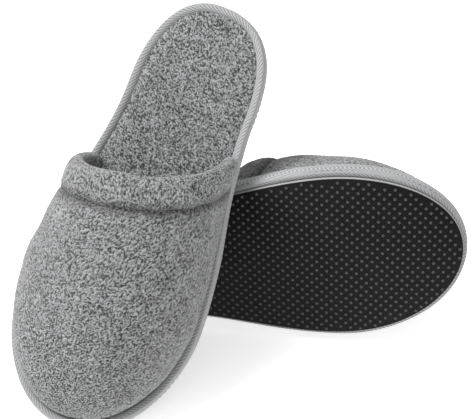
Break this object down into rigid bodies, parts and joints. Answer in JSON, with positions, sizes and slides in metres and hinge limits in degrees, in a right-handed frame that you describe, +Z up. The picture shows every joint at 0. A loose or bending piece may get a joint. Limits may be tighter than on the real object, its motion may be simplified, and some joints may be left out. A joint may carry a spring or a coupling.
{
  "type": "spa slippers",
  "caption": "Pair of grey terry spa slippers with closed toes, turned cuffs and dotted soles: one lies on its side, the other leans on it.",
  "frame": {"origin": "on the floor, under the middle of the pair's box", "axes": "+Z up, +X towards the toe of the slipper that lies on its side, -Y the side that its sole faces"},
  "size_m": [0.2588, 0.1884, 0.1947],
  "materials": {
    "grip": "woven black grip fabric with small raised dots",
    "felt": "pale felted backing of the outsole",
    "tape": "grey twill binding tape",
    "foam": "soft off-white foam",
    "terry": "grey looped terry towelling",
    "lining": "smooth grey knitted lining",
    "thread": "grey sewing thread"
  },
  "bodies": {
    "lying_slipper": {"lying_outsole_grip": "grip", "lying_outsole_backing": "felt", "lying_binding_tape": "tape", "lying_midsole_foam": "foam", "lying_footbed_pad": "foam", "lying_footbed_terry": "terry", "lying_vamp_terry": "terry", "lying_vamp_foam": "foam", "lying_vamp_lining": "lining", "lying_cuff_terry": "terry", "lying_cuff_wadding": "foam", "lying_binding_thread": "thread", "lying_cuff_thread": "thread"},
    "leaning_slipper": {"leaning_outsole_grip": "grip", "leaning_outsole_backing": "felt", "leaning_binding_tape": "tape", "leaning_midsole_foam": "foam", "leaning_footbed_pad": "foam", "leaning_footbed_terry": "terry", "leaning_vamp_terry": "terry", "leaning_vamp_foam": "foam", "leaning_vamp_lining": "lining", "leaning_cuff_terry": "terry", "leaning_cuff_wadding": "foam", "leaning_binding_thread": "thread", "leaning_cuff_thread": "thread"}
  },
  "joints": [
    {"name": "lift_off", "type": "slide", "parent": "lying_slipper", "child": "leaning_slipper", "axis": [0, 0, 1], "range_m": [0, 0.2]}
  ]
}
